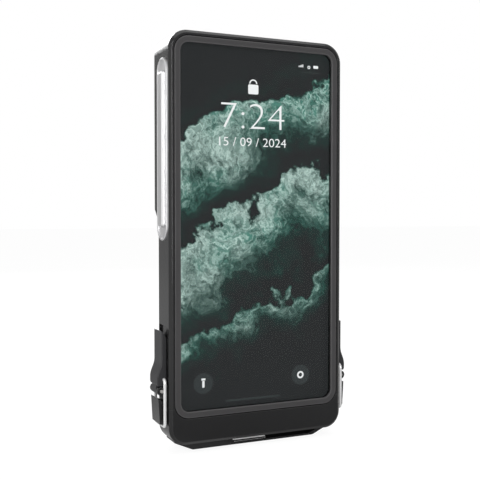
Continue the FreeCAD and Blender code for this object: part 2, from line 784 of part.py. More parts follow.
def key_plate(name, side, middle, plate, key_length, key_width):
    """Obround plate with a raised rim, a dish and the opening for its key."""
    body = new_body(name)
    length, width = plate
    pad_wall(body, side, -s.key_seat, s.key_proud,
             lambda sketch: draw_obround(sketch, s.key_row, middle, length, width))
    cut_wall(body, side, s.key_proud - s.key_dish, s.key_proud,
             lambda sketch: draw_obround(sketch, s.key_row, middle, length - s.key_rim * 2, width - s.key_rim * 2))
    half_long, half_wide = key_length / 2 + s.key_play, key_width / 2 + s.key_play
    cut_wall(body, side, -s.key_seat, s.key_proud,
             lambda sketch: draw_rectangle(sketch, s.key_row - half_wide, s.key_row + half_wide,
                                           middle - half_long, middle + half_long, s.key_rim, s.key_rim))
    face = side_x(side, s.key_proud)
    dress(body, "Fillet", s.key_dish / 2, lambda edge: on_level(edge, "X", face))
    return body


def key_cap(name, side, middle, length, width, proud, edge_round):
    """The part of a key that is pressed, with the flange that keeps it behind its plate."""
    body = new_body(name)
    pad_wall(body, side, -s.key_seat, proud,
             lambda sketch: draw_rectangle(sketch, s.key_row - width / 2, s.key_row + width / 2,
                                           middle - length / 2, middle + length / 2, s.key_rim, s.key_rim))
    face = side_x(side, proud)
    dress(body, "Fillet", edge_round, lambda edge: on_level(edge, "X", face))
    step = s.flange_step * 2
    pad_wall(body, side, -s.key_seat - s.key_flange, -s.key_seat,
             lambda sketch: draw_obround(sketch, s.key_row, middle, length + step, width + step))
    return body


def key_membrane(name, side, middle, length, width):
    """Rubber sheet that seals the openings behind a key."""
    body = new_body(name)
    step = s.flange_step * 2
    pad_wall(body, side, -key_depth, s.key_sheet - key_depth,
             lambda sketch: draw_obround(sketch, s.key_row, middle, length + step, width + step))
    return body


# End cap group

def catch_block(body, side):
    """Catch on the cap's side: the bail's cross wire hooks under it."""
    sketch = new_sketch(body, "XZ", s.latch_front)
    base = cross_wire_top + s.catch_gap
    draw_outward(sketch, side, [
        (-s.neck_wall, base),
        (s.catch_base, base),
        (s.catch_out, catch_top),
        (s.catch_play, catch_top - s.catch_slope),
        (s.catch_play, parting),
        (-s.neck_wall, parting),
    ])
    pad(sketch, s.latch_width)
    sketch = new_sketch(body, "XZ", s.latch_front)
    draw_outward(sketch, side, [
        (s.catch_play * 2, base + s.catch_pit),
        (s.pivot_out, base + s.catch_pit),
        (s.pivot_out, catch_top - s.catch_slope),
        (s.catch_play * 2, catch_top - s.catch_slope * 1.5),
    ])
    cut(sketch, s.catch_pit)


def end_cap():
    body = new_body("end_cap")
    sketch = new_sketch(body, "XZ", 0)
    draw_rectangle(sketch, -half_width, half_width, s.foot_height, parting, s.cap_corner, None)
    pad(sketch, body_depth)
    dress(body, "Chamfer", s.front_bevel,
          lambda edge: on_level(edge, "Y", 0) and not on_level(edge, "Z", parting))
    dress(body, "Fillet", s.back_round,
          lambda edge: on_level(edge, "Y", body_depth) and not on_level(edge, "Z", parting))
    dress(body, "Chamfer", s.parting_edge, lambda edge: on_level(edge, "Z", parting))
    for side in (-1, 1):
        catch_block(body, side)
    sketch = new_sketch(body, "XZ", 0)
    reach, corner = bezel_out + s.bezel_gap, s.window_corner + s.bezel_band + s.bezel_gap
    draw_rectangle(sketch, -reach, reach, window_base - s.bezel_band - s.bezel_gap, parting + corner, corner, None)
    cut(sketch, pocket_front + s.neck_play)
    sketch = new_sketch(body, "XY", channel_floor)
    box_loop(sketch, s.neck_wall + s.neck_play, s.pocket_round + s.neck_wall + s.neck_play)
    box_loop(sketch, -s.plug_play, s.pocket_round - s.plug_play)
    cut(sketch, parting - channel_floor)
    sketch = new_sketch(body, "XY", plug_top)
    box_loop(sketch, s.neck_play, s.pocket_round + s.neck_play)
    cut(sketch, parting - plug_top)
    sketch = new_sketch(body, "XY", s.foot_height)
    draw_circle(sketch, 0, bush_row, barrel_radius)
    cut(sketch, bush_length)
    screw_holes(body, s.foot_height, s.screw_lift + s.screw_sink + s.screw_length - s.foot_height, s.screw_shank / 2)
    return body


def cap_gasket():
    body = new_body("cap_gasket")
    sketch = new_sketch(body, "XY", channel_floor)
    box_loop(sketch, s.neck_wall, s.pocket_round + s.neck_wall)
    box_loop(sketch, 0, s.pocket_round)
    pad(sketch, s.face_seal)
    return body


def cap_pad():
    """Rubber rest on the cap's plug, with two grooves along it."""
    body = new_body("cap_pad")
    sketch = new_sketch(body, "XY", plug_top)
    reach = half_pocket - s.pocket_round * 2
    low, high = pocket_front + s.panel_thick + s.pocket_round, pocket_back - s.pocket_round
    draw_rectangle(sketch, -reach, reach, low, high, s.pocket_round, s.pocket_round)
    pad(sketch, s.rest_thick)
    for place in (1, 2):
        row = low + (high - low) / 3 * place
        sketch = new_sketch(body, "XY", plug_top + s.rest_thick / 2)
        draw_rectangle(sketch, -reach, reach, row - s.rest_groove / 2, row + s.rest_groove / 2)
        cut(sketch, s.rest_thick / 2)
    return body


# Foot group

def screw_places():
    """X of the foot's screws."""
    return (-screw_far, -screw_near, screw_near, screw_far)


def screw_holes(body, level, depth, radius):
    """Round holes for the foot's screws."""
    sketch = new_sketch(body, "XY", level)
    for place in screw_places():
        draw_circle(sketch, place, screw_row, radius)
    cut(sketch, depth)


def mount_foot():
    body = new_body("mount_foot")
    sketch = new_sketch(body, "XZ", foot_front)
    draw_polygon(sketch, [
        (-foot_base, 0),
        (foot_base, 0),
        (foot_top, s.foot_height),
        (foot_top, s.foot_height + s.cap_corner),
        (-foot_top, s.foot_height + s.cap_corner),
        (-foot_top, s.foot_height),
    ])
    pad(sketch, foot_depth)
    sketch = new_sketch(body, "XZ", foot_front)
    draw_rectangle(sketch, -half_width, half_width, s.foot_height, parting, s.cap_corner, None)
    cut(sketch, foot_depth)
    dress(body, "Chamfer", s.foot_edge, lambda edge: on_level(edge, "Z", 0))
    sketch = new_sketch(body, "XZ", foot_front)
    draw_polygon(sketch, [
        (s.slot_left + s.slot_slant, s.lip_thick),
        (foot_top - s.slot_rim - s.slot_lean, s.lip_thick),
        (foot_top - s.slot_rim, s.foot_height),
        (s.slot_left, s.foot_height),
    ])
    cut(sketch, s.slot_depth)
    sketch = new_sketch(body, "XY", s.lip_thick)
    half_deep = bush_depth / 2 + s.bush_play
    draw_rectangle(sketch, -s.bush_left - s.bush_play, s.bush_right + s.bush_play,
                   bush_row - half_deep, bush_row + half_deep)
    cut(sketch, bush_flange)
    sketch = new_sketch(body, "XY", 0)
    draw_circle(sketch, 0, bush_row, (s.bush_bore + s.bush_entry) / 2)
    cut(sketch, s.foot_height)
    screw_holes(body, 0, s.foot_height, s.screw_shank / 2)
    screw_holes(body, 0, s.screw_lift + s.screw_sink, s.screw_head / 2)
    return body


def tripod_bush():
    """Flanged bush: the flange lies in the foot's slot, the barrel stands in the cap."""
    body = new_body("tripod_bush")
    front, back = bush_row - bush_depth / 2, bush_row + bush_depth / 2
    sketch = new_sketch(body, "XY", s.lip_thick)
    draw_rectangle(sketch, -s.bush_left, s.bush_right, front, back)
    pad(sketch, bush_flange)
    sketch = new_sketch(body, "XY", s.foot_height - s.bush_step)
    draw_rectangle(sketch, -s.bush_left, s.bush_right, front, front + s.bush_ledge)
    cut(sketch, s.bush_step)
    sketch = new_sketch(body, "XY", s.foot_height)
    draw_circle(sketch, 0, bush_row, barrel_radius)
    pad(sketch, bush_length)
    sketch = new_sketch(body, "XY", s.lip_thick)
    draw_circle(sketch, 0, bush_row, s.bush_bore / 2)
    cut(sketch, bush_flange + bush_length - s.bush_floor)
    return body


def foot_screws():
    """Four alike screws that hold the foot to the cap, heads sunk from below."""
    group = doc.addObject("Part::MultiFuse", "foot_screws")
    group.Label = "foot_screws"
    pieces = []
    for number, place in enumerate(screw_places(), 1):
        head = doc.addObject("Part::Cylinder", f"screw_head_{number}")
        head.setExpression("Radius", (s.screw_head / 2).text)
        head.setExpression("Height", s.screw_sink.text)
        shank = doc.addObject("Part::Cylinder", f"screw_shank_{number}")
        shank.setExpression("Radius", (s.screw_shank / 2).text)
        shank.setExpression("Height", (s.screw_sink + s.screw_length).text)
        for piece in (head, shank):
            piece.setExpression("Placement.Base.x", place.text)
            piece.setExpression("Placement.Base.y", screw_row.text)
            piece.setExpression("Placement.Base.z", s.screw_lift.text)
            pieces.append(piece)
        socket = doc.addObject("Part::Prism", f"screw_socket_{number}")
        socket.Polygon = 6
        socket.setExpression("Circumradius", (s.screw_shank / 2).text)
        socket.setExpression("Height", (s.screw_sink / 2).text)
        socket.setExpression("Placement.Base.x", place.text)
        socket.setExpression("Placement.Base.y", screw_row.text)
        socket.setExpression("Placement.Base.z", s.screw_lift.text)
        solid = doc.addObject("Part::MultiFuse", f"screw_blank_{number}")
        solid.Shapes = [head, shank]
        driven = doc.addObject("Part::Cut", f"screw_{number}")
        driven.Base = solid
        driven.Tool = socket
        pieces.append(driven)
    group.Shapes = [piece for piece in pieces if piece.TypeId == "Part::Cut"]
    group.setExpression("Placement.Base.y", (-full_depth / 2).text)
    return group


# Draw latches

def pivot_pin(name, side):
    body = new_body(name)
    sketch = new_sketch(body, "XZ", s.latch_front - s.pin_end)
    draw_circle(sketch, side_x(side, s.pivot_out), pivot_height, s.pin_bore / 2)
    pad(sketch, s.latch_width + s.pin_end * 2)
    return body


def latch_lever(name, side):
    """Over-centre lever with an eye between the lugs and a hole each side for the bail."""
    body = new_body(name)
    sketch = new_sketch(body, "XZ", s.latch_front)
    draw_outward(sketch, side, [
        (s.lever_inner, lever_end),
        (belly_out - s.lever_edge, lever_end),
        (belly_out, lever_end + s.belly_foot),
        (belly_out, lever_end + s.belly_rise),
        (s.lever_outer, bend_height),
        (s.lever_outer, lever_top),
        (s.lever_outer - s.lever_edge, lever_top),
        (s.lever_inner, lever_top - s.lever_nail),
    ])
    pad(sketch, s.latch_width)
    bend, belly = side_x(side, s.lever_outer), side_x(side, belly_out)

    def turns(edge):
        at_bend = on_level(edge, "X", bend) and on_level(edge, "Z", bend_height)
        at_belly = on_level(edge, "X", belly) and on_level(edge, "Z", lever_end + s.belly_rise)
        return at_bend or at_belly
    dress(body, "Fillet", s.belly_round, turns)
    outer = half_width + s.lever_outer

    def outer_edge(edge):
        box = edge.BoundBox
        flat = on_level(edge, "Y", s.latch_front) or on_level(edge, "Y", latch_back)
        return flat and min(abs(box.XMin), abs(box.XMax)) > outer.value - 1e-3
    dress(body, "Chamfer", s.lever_edge, outer_edge)
    ear = s.lug_width + s.lug_play
    sketch = new_sketch(body, "XZ", s.latch_front + ear)
    draw_circle(sketch, side_x(side, s.pivot_out), pivot_height, lug_radius)
    pad(sketch, s.latch_width - ear * 2)
    sketch = new_sketch(body, "XZ", s.latch_front + ear)
    draw_outward(sketch, side, [
        (s.pivot_out - lug_radius, pivot_height),
        (s.pivot_out + lug_radius, pivot_height),
        (s.pivot_out + lug_radius - s.lever_edge, lever_end + s.lever_edge),
        (s.pivot_out - lug_radius, lever_end + s.lever_edge),
    ])
    pad(sketch, s.latch_width - ear * 2)
    sketch = new_sketch(body, "XZ", s.latch_front)
    draw_circle(sketch, side_x(side, s.pivot_out), pivot_height, s.pin_bore / 2 + s.pin_play)
    cut(sketch, s.latch_width)
    for level in (s.latch_front, latch_back - s.wire_in - s.pin_play):
        sketch = new_sketch(body, "XZ", level)
        draw_circle(sketch, side_x(side, bail_out), bail_top, s.wire / 2 + s.wire_play)
        cut(sketch, s.wire_in + s.pin_play)
    cut_wall(body, side, s.lever_inner, s.lever_inner + s.lever_hollow,
             lambda sketch: draw_rectangle(sketch, s.latch_front + s.hollow_rim, latch_back - s.hollow_rim,
                                           bend_height, lever_top - s.lever_nail - s.hollow_rim,
                                           s.lever_hollow, s.lever_hollow))
    return body


def wire_bail(name, side):
    """Bent wire: its ends turn in the lever and its cross wire hooks under the catch."""
    body = new_body(name)
    level = side_x(side, bail_out)
    front = s.latch_front - s.wire_gap - s.wire / 2
    back = latch_back + s.wire_gap + s.wire / 2
    path = new_sketch(body, "YZ", level)
    start, end = s.latch_front + s.wire_in, latch_back - s.wire_in
    draw_bail(path, start, front, back, end)
    ring = new_sketch(body, "XZ", start)
    draw_circle(ring, level, bail_top, s.wire / 2)
    pipe = body.newObject("PartDesign::AdditivePipe", f"{name}_pipe")
    pipe.Profile = ring
    pipe.Spine = path
    doc.recompute()
    return body


def draw_bail(sketch, start, front, back, end):
    """Centre line of the bail: in at the front, down, across, up, in at the back."""
    bend, top, low = s.wire_bend, bail_top, bail_foot
    turn = s.wire_bend.value
    spots = [(start, top), (front, top), (front, low), (back, low), (back, top), (end, top)]
    steps = [(-1, 0), (0, -1), (1, 0), (0, 1), (-1, 0)]
    lines = []
    for index, (ahead_y, ahead_z) in enumerate(steps):
        begin_y, begin_z = spots[index][0].value, spots[index][1].value
        stop_y, stop_z = spots[index + 1][0].value, spots[index + 1][1].value
        cut_start = turn if index > 0 else 0.0
        cut_stop = turn if index < len(steps) - 1 else 0.0
        first = FreeCAD.Vector(begin_y + ahead_y * cut_start, begin_z + ahead_z * cut_start, 0)
        last = FreeCAD.Vector(stop_y - ahead_y * cut_stop, stop_z - ahead_z * cut_stop, 0)
        line = sketch.addGeometry(Part.LineSegment(first, last), False)
        sketch.addConstraint(Sketcher.Constraint("Vertical" if ahead_z else "Horizontal", line))
        level = spots[index][0] if ahead_z else spots[index][1]
        pin(sketch, "DistanceX" if ahead_z else "DistanceY", line, 1, level)
        lines.append((line, first, last))
    for index in range(len(lines) - 1):
        line, _, last = lines[index]
        following, first, _ = lines[index + 1]
        corner = FreeCAD.Vector(spots[index + 1][0].value, spots[index + 1][1].value, 0)
        centre = last + first - corner
        middle = centre + (corner - centre) * (turn / (corner - centre).Length)
        arc = sketch.addGeometry(Part.Arc(last, middle, first), False)
        geometry = sketch.Geometry[arc]
        near = 1 if geometry.StartPoint.distanceToPoint(last) < 1e-6 else 2
        sketch.addConstraint(Sketcher.Constraint("Tangent", line, 2, arc, near))
        sketch.addConstraint(Sketcher.Constraint("Tangent", arc, 3 - near, following, 1))
        limit = sketch.addConstraint(Sketcher.Constraint("Radius", arc, turn))
        sketch.setExpression(f"Constraints[{limit}]", bend.text)
    pin(sketch, "DistanceX", lines[0][0], 1, start)
    pin(sketch, "DistanceX", lines[-1][0], 2, end)


# Build every piece, check it and write it

nodes = [
    housing_shell(),
    front_bezel(),
    touch_window(),
    window_gasket(),
    screen_panel(),
    back_pad(),
    camera_window(),
    camera_gasket(),
    camera_ring(),
    key_plate("key_plate_left", -1, bar_middle, bar_plate, s.bar_length, s.bar_width),
    key_cap("push_bar", -1, bar_middle, s.bar_length, s.bar_width, s.bar_proud, s.bar_round),
    key_membrane("key_membrane_left", -1, bar_middle, s.bar_length, s.bar_width),
    key_plate("key_plate_right", 1, button_middle, button_plate, s.button_length, s.button_width),
    key_cap("power_button", 1, button_middle, s.button_length, s.button_width, s.button_proud, s.button_round),
    key_membrane("key_membrane_right", 1, button_middle, s.button_length, s.button_width),
    end_cap(),
    cap_gasket(),
    cap_pad(),
    mount_foot(),
    tripod_bush(),
    foot_screws(),
]
for suffix, side in (("left", -1), ("right", 1)):
    nodes.append(latch_lever(f"latch_lever_{suffix}", side))
    nodes.append(wire_bail(f"wire_bail_{suffix}", side))
    nodes.append(pivot_pin(f"pivot_pin_{suffix}", side))
doc.recompute()

for item in doc.Objects:
    if "Invalid" in item.State or "Error" in item.State:
        raise RuntimeError(f"{item.Label} did not build: {item.State}")
for node in nodes:
    if node.Shape.isNull() or not node.Shape.isValid() or not node.Shape.Solids:
        raise RuntimeError(f"{node.Label} has no sound shape")

os.makedirs("parts", exist_ok=True)
for node in nodes:
    node.Shape.exportStep(os.path.join("parts", f"{node.Label}.step"))
    box = node.Shape.BoundBox
    print(f"{node.Label}: {len(node.Shape.Solids)} solid, {node.Shape.Volume / 1000:.3f} cm3, "
          f"x {box.XMin:.2f}..{box.XMax:.2f}, y {box.YMin:.2f}..{box.YMax:.2f}, z {box.ZMin:.2f}..{box.ZMax:.2f}")
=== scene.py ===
"""Looks of a waterproof phone case, laid out as a Blender add-on.

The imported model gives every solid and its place. This file gives the solids their finishes, draws
what the lit display shows behind the window, and sets up the floor, the lamps and the camera.
"""

import math

import bmesh
import bpy
from mathutils import Matrix, Vector


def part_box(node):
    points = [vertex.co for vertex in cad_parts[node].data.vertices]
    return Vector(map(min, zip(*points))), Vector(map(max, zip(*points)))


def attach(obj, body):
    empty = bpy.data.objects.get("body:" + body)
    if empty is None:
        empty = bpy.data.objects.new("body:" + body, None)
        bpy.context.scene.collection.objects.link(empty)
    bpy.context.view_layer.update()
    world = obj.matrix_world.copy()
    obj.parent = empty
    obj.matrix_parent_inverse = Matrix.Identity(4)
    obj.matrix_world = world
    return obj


bl_info = {
    "name": "Waterproof phone case",
    "version": (1, 0, 0),
    "blender": (4, 5, 0),
    "location": "3D View > Sidebar > Phone Case",
    "description": "Finishes, display picture and studio for a waterproof phone case",
    "category": "Object",
}

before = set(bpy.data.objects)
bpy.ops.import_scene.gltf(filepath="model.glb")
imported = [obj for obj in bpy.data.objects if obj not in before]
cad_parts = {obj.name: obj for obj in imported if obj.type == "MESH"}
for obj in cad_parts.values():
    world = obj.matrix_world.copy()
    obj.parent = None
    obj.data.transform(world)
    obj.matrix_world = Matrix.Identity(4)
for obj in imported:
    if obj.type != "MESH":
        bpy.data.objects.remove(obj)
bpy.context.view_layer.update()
MM = 0.001
BLACK = (0, 0, 0, 1)
WHITE = (1, 1, 1, 1)
UNLIT = (0.005, 0.005, 0.005, 1)  # what a display reflects where it gives no light

# A wave texture of scale 1 repeats after this length.
WAVE_LENGTH = 0.314

# The display's marks are thin plates in front of the panel. Symbols lie in front of their discs.
MARK_GAP = 0.02 * MM
MARK_THICK = 0.03 * MM
SYMBOL_LIFT = 0.04 * MM
MARK_MIDDLE = -1.5  # x of what stands in the middle of the display, in millimetres
FULL_TURN = 2 * math.pi

# Each lamp's place, and its width and height.
LAMPS = {
    "side_lamp": ((-0.8, 0.08, 0.2), (0.5, 0.9)),
    "front_lamp": ((-0.42, -1.0, 0.35), (0.25, 0.8)),
    "rear_lamp": ((0.0, 0.9, 0.55), (0.5, 0.3)),
    "top_lamp": ((0.05, -0.1, 0.75), (0.8, 0.6)),
}
LAMP_AIM = (0, 0, 0.09)  # middle of the case
CAMERA_PLACE = (-0.1508, -0.3293, 0.1029)
CAMERA_TURN = (88.25, 0, -23.94)  # degrees


def linear(code):
    """Turn an sRGB hex colour into linear red, green and blue."""
    channels = [int(code[place:place + 2], 16) / 255 for place in (1, 3, 5)]
    return tuple(value / 12.92 if value <= 0.04045 else ((value + 0.055) / 1.055) ** 2.4
                 for value in channels)


def shade(tint, factor=1.0, lift=0.0):
    """A linear colour as a socket takes it, made darker or lighter."""
    return (*[value * factor + lift for value in tint], 1)


def colour(name, description, code):
    """A colour that the user may change."""
    return bpy.props.FloatVectorProperty(
        name=name, description=description, default=linear(code), subtype="COLOR", size=3,
        min=0, max=1)


def length(name, description, millimetres):
    """A size that the user may change."""
    return bpy.props.FloatProperty(
        name=name, description=description, default=millimetres * MM, unit="LENGTH", precision=5)


def power(name, description, watts):
    """A lamp's power that the user may change."""
    return bpy.props.FloatProperty(name=name, description=description, default=watts, unit="POWER")


def brightness(name, description, value):
    """A brightness that the user may change, where 1 is white."""
    return bpy.props.FloatProperty(name=name, description=description, default=value, min=0, max=2)


class PhoneCaseFinish(bpy.types.PropertyGroup):
    """Colours of the case's own pieces."""

    shell: colour("Shell", "Moulded housing, end cap and foot", "#171718")
    bezel: colour("Bezel", "Frame round the touch window", "#3d3c3d")
    lever: colour("Latch", "Moulded latch levers", "#2b2b2d")
    rubber: colour("Rubber", "Seals, cushions and sheets", "#141415")
    ring: colour("Lens ring", "Ring round the camera window", "#161617")
    key_metal: colour("Key metal", "Key plates, push bar and power button", "#e6e6e7")
    steel: colour("Steel", "Pins and screws", "#d2d0cd")
    blackened: colour("Blackened steel", "Tripod bush", "#1d1d1e")
    wire: colour("Wire", "Bright plated wire of the bails", "#f6f6f6")
    # the real grain is finer, and is drawn as coarse as it needs to show
    grain: length("Moulded grain", "Spacing of the fine texture on the mouldings", 0.55)


class PhoneCaseDisplay(bpy.types.PropertyGroup):
    """What the lit display shows."""

    dark: colour("Night", "Ground of the picture", "#252728")
    deep: colour("Deep water", "Darkest band of the picture", "#203b36")
    mid: colour("Water", "Middle band of the picture", "#4f8477")
    pale: colour("Mist", "Greyer parts of the picture", "#86a098")
    light: colour("Foam", "Lightest lines of the picture", "#d3ece4")
    mark: colour("Marks", "Clock and small marks", "#f4f6f6")
    dim: colour("Buttons", "Discs of the two round buttons", "#363b3c")
    clock: bpy.props.StringProperty(name="Clock", description="Digits of the clock", default="7:24")
    day: bpy.props.StringProperty(
        name="Day", description="Digits below the clock", default="15 / 09 / 2024")
    clock_height: length("Digit height", "Height of the clock's digits", 11.4)
    clock_width: length("Clock width", "Width of the clock's digits", 31.0)


class PhoneCaseStage(bpy.types.PropertyGroup):
    """Floor, lamps and camera."""

    lens: bpy.props.FloatProperty(
        name="Lens", description="Focal length", default=59.25, unit="CAMERA")
    side_lamp: power("Side lamp", "Soft lamp on the left", 1.2)
    front_lamp: power("Front lamp", "Tall lamp beside the camera, which draws lines on edges", 6.0)
    rear_lamp: power("Rear lamp", "Soft lamp behind", 3.0)
    top_lamp: power("Top lamp", "Soft lamp above", 1.5)
    fill: brightness("Fill", "Light from all round", 0.45)
    front_wall: brightness("Front wall", "How bright reflections show the room in front", 0.45)
    left_wall: brightness("Left wall", "How bright reflections show the room on the left", 0.85)
    rear_wall: brightness("Rear wall", "How bright reflections show the room behind", 0.42)
    rear_corner: brightness(
        "Rear right corner", "How bright reflections show the room behind on the right", 0.3)


def add(tree, kind, sockets=(), **settings):
    """Add a node, set its properties, and fill or link its inputs."""
    made = tree.nodes.new(kind)
    for name, value in settings.items():
        setattr(made, name, value)
    for name, value in dict(sockets).items():
        if isinstance(value, bpy.types.NodeSocket):
            tree.links.new(value, made.inputs[name])
        else:
            made.inputs[name].default_value = value
    return made


def new_finish(name):
    """A node material with nothing in it yet."""
    finish = bpy.data.materials.new(name)
    finish.use_nodes = True
    finish.node_tree.nodes.clear()
    return finish, finish.node_tree


def end_finish(tree, shader):
    """Lead a shader to the material's output."""
    add(tree, "ShaderNodeOutputMaterial", {"Surface": shader.outputs[0]})


def wear_and_highlight_edges(tree, broken, reach):
    """Mask of the outer edges, which are made lighter as wear and as a painted highlight. Inner
    corners are left out.
    """
    face = add(tree, "ShaderNodeNewGeometry").outputs["Normal"]
    bend = add(tree, "ShaderNodeVectorMath", {0: broken.outputs[0], 1: face},
               operation="DOT_PRODUCT")
    # cosines of about 10 and 22 degrees, by which a broken edge turns away from its face
    sharp = add(tree, "ShaderNodeMapRange", {
        "Value": bend.outputs["Value"], "From Min": 0.985, "From Max": 0.93})
    open_air = add(tree, "ShaderNodeAmbientOcclusion", {"Distance": reach}, samples=4,
                   only_local=True)
    outer = add(tree, "ShaderNodeMapRange", {
        "Value": open_air.outputs["AO"], "From Min": 0.8, "From Max": 0.97})
    mask = add(tree, "ShaderNodeMath", {0: sharp.outputs[0], 1: outer.outputs[0]},
               operation="MULTIPLY")
    return mask.outputs[0]


def moulding(name, tint, grain, gloss, level, relief, edge):
    """Moulded plastic: an even colour, a fine stippled grain, and edges lighter from wear and a
    painted highlight.
    """
    cloud_size, stipple_height = 18 * MM, 0.03 * MM
    finish, tree = new_finish(name)
    place = add(tree, "ShaderNodeTexCoord").outputs["Object"]
    cloud = add(tree, "ShaderNodeTexNoise", {
        "Vector": place, "Scale": 1 / cloud_size, "Detail": 3.0})
    tone = add(tree, "ShaderNodeMix", {
        "Factor": cloud.outputs["Fac"], "A": shade(tint, 0.88), "B": shade(tint, 1.12)},
        data_type="RGBA")
    stipple = add(tree, "ShaderNodeTexNoise", {"Vector": place, "Scale": 1 / grain, "Detail": 1.0})
    broken = add(tree, "ShaderNodeBevel", {"Radius": edge}, samples=4)
    bump = add(tree, "ShaderNodeBump", {
        "Strength": relief, "Distance": stipple_height, "Height": stipple.outputs["Fac"],
        "Normal": broken.outputs[0]})
    shine = add(tree, "ShaderNodeMapRange", {
        "Value": cloud.outputs["Fac"], "To Min": gloss - 0.05, "To Max": gloss + 0.05})
    # outer edges painted lighter and glossier: partly wear, partly a painted highlight along the
    # edges
    edge_wear_and_highlight = wear_and_highlight_edges(tree, broken, edge)
    worn_and_highlit_tone = add(tree, "ShaderNodeMix", {
        "Factor": edge_wear_and_highlight, "A": tone.outputs["Result"], "B": shade(tint, factor=2.2, lift=0.012)},
        data_type="RGBA")
    polish = add(tree, "ShaderNodeMix", {
        "Factor": edge_wear_and_highlight, "A": shine.outputs["Result"], "B": gloss * 0.7}, data_type="FLOAT")
    shader = add(tree, "ShaderNodeBsdfPrincipled", {
        "Base Color": worn_and_highlit_tone.outputs["Result"], "Roughness": polish.outputs["Result"],
        "Normal": bump.outputs["Normal"], "IOR": 1.55, "Specular IOR Level": level,
    })
    end_finish(tree, shader)
    return finish


def fine_metal(name, tint, gloss, line, across, bare=1.0):
    """Metal with fine lines or a fine grain. Where bare is under 1, a plating scatters light."""
    edge, line_height = 0.12 * MM, 0.01 * MM
    finish, tree = new_finish(name)
    place = add(tree, "ShaderNodeTexCoord").outputs["Object"]
    drawn = add(tree, "ShaderNodeMapping", {"Vector": place, "Scale": across})
    lines = add(tree, "ShaderNodeTexNoise", {
        "Vector": drawn.outputs["Vector"], "Scale": 1 / line, "Detail": 2.0})
    shine = add(tree, "ShaderNodeMapRange", {
        "Value": lines.outputs["Fac"], "To Min": gloss - 0.06, "To Max": gloss + 0.06})
    tone = add(tree, "ShaderNodeMix", {
        "Factor": lines.outputs["Fac"], "A": shade(tint, 0.93), "B": shade(tint)}, data_type="RGBA")
    broken = add(tree, "ShaderNodeBevel", {"Radius": edge}, samples=4)
    bump = add(tree, "ShaderNodeBump", {
        "Strength": 0.1, "Distance": line_height, "Height": lines.outputs["Fac"],
        "Normal": broken.outputs[0]})
    shader = add(tree, "ShaderNodeBsdfPrincipled", {
        "Base Color": tone.outputs["Result"], "Metallic": bare,
        "Roughness": shine.outputs["Result"], "Normal": bump.outputs["Normal"],
    })
    end_finish(tree, shader)
    return finish


def blackened_steel(name, tint, bare, seam):
    """Steel in black oxide, lighter along its outer edges from wear and a painted highlight, and
    bright in a band under the seam.
    """
    cloud_size, edge = 1.5 * MM, 0.5 * MM
    coated_below, bright_from = seam - 2.1 * MM, seam - 2.0 * MM
    finish, tree = new_finish(name)
    place = add(tree, "ShaderNodeTexCoord").outputs["Object"]
    cloud = add(tree, "ShaderNodeTexNoise", {
        "Vector": place, "Scale": 1 / cloud_size, "Detail": 3.0})
    shine = add(tree, "ShaderNodeMapRange", {
        "Value": cloud.outputs["Fac"], "To Min": 0.3, "To Max": 0.42})
    broken = add(tree, "ShaderNodeBevel", {"Radius": edge}, samples=8)
    edge_wear_and_highlight = wear_and_highlight_edges(tree, broken, edge)
    height = add(tree, "ShaderNodeSeparateXYZ", {0: place})
    # the bush is drawn in the bright colour from 2 mm under the seam upwards, which gives a bright
    # line below the cap
    bright_band = add(tree, "ShaderNodeMapRange", {
        "Value": height.outputs["Z"], "From Min": coated_below, "From Max": bright_from})
    # bright at the lightened edges, which are wear and a painted highlight, and in that band
    shown = add(tree, "ShaderNodeMath", {0: edge_wear_and_highlight, 1: bright_band.outputs[0]}, operation="MAXIMUM")
    tone = add(tree, "ShaderNodeMix", {
        "Factor": shown.outputs[0], "A": shade(tint), "B": shade(bare)}, data_type="RGBA")
    shader = add(tree, "ShaderNodeBsdfPrincipled", {
        "Base Color": tone.outputs["Result"], "Metallic": 0.3, "Roughness": shine.outputs["Result"],
        "Normal": broken.outputs[0],
    })
    end_finish(tree, shader)
    return finish


def moulded_rubber(name, tint):
    """Silicone rubber: very dark and dull, with a slightly uneven skin."""
    skin_size, skin_height = 0.8 * MM, 0.02 * MM
    finish, tree = new_finish(name)
    place = add(tree, "ShaderNodeTexCoord").outputs["Object"]
    skin = add(tree, "ShaderNodeTexNoise", {"Vector": place, "Scale": 1 / skin_size, "Detail": 2.0})
    shine = add(tree, "ShaderNodeMapRange", {
        "Value": skin.outputs["Fac"], "To Min": 0.62, "To Max": 0.8})
    bump = add(tree, "ShaderNodeBump", {
        "Strength": 0.2, "Distance": skin_height, "Height": skin.outputs["Fac"]})
    shader = add(tree, "ShaderNodeBsdfPrincipled", {
        "Base Color": shade(tint), "Roughness": shine.outputs["Result"],
        "Normal": bump.outputs["Normal"], "Specular IOR Level": 0.3,
    })
    end_finish(tree, shader)
    return finish


def clear_pane(name, tint, index):
    """Clear polished pane. Its low index gives the weak reflections of a coated pane."""
    haze_size = 9 * MM
    finish, tree = new_finish(name)
    place = add(tree, "ShaderNodeTexCoord").outputs["Object"]
    haze = add(tree, "ShaderNodeTexNoise", {"Vector": place, "Scale": 1 / haze_size, "Detail": 2.0})
    shine = add(tree, "ShaderNodeMapRange", {
        "Value": haze.outputs["Fac"], "To Min": 0.0, "To Max": 0.03})
    shader = add(tree, "ShaderNodeBsdfPrincipled", {
        "Base Color": shade(tint), "Roughness": shine.outputs["Result"], "IOR": index,
        "Transmission Weight": 1.0,
    })
    end_finish(tree, shader)
    return finish


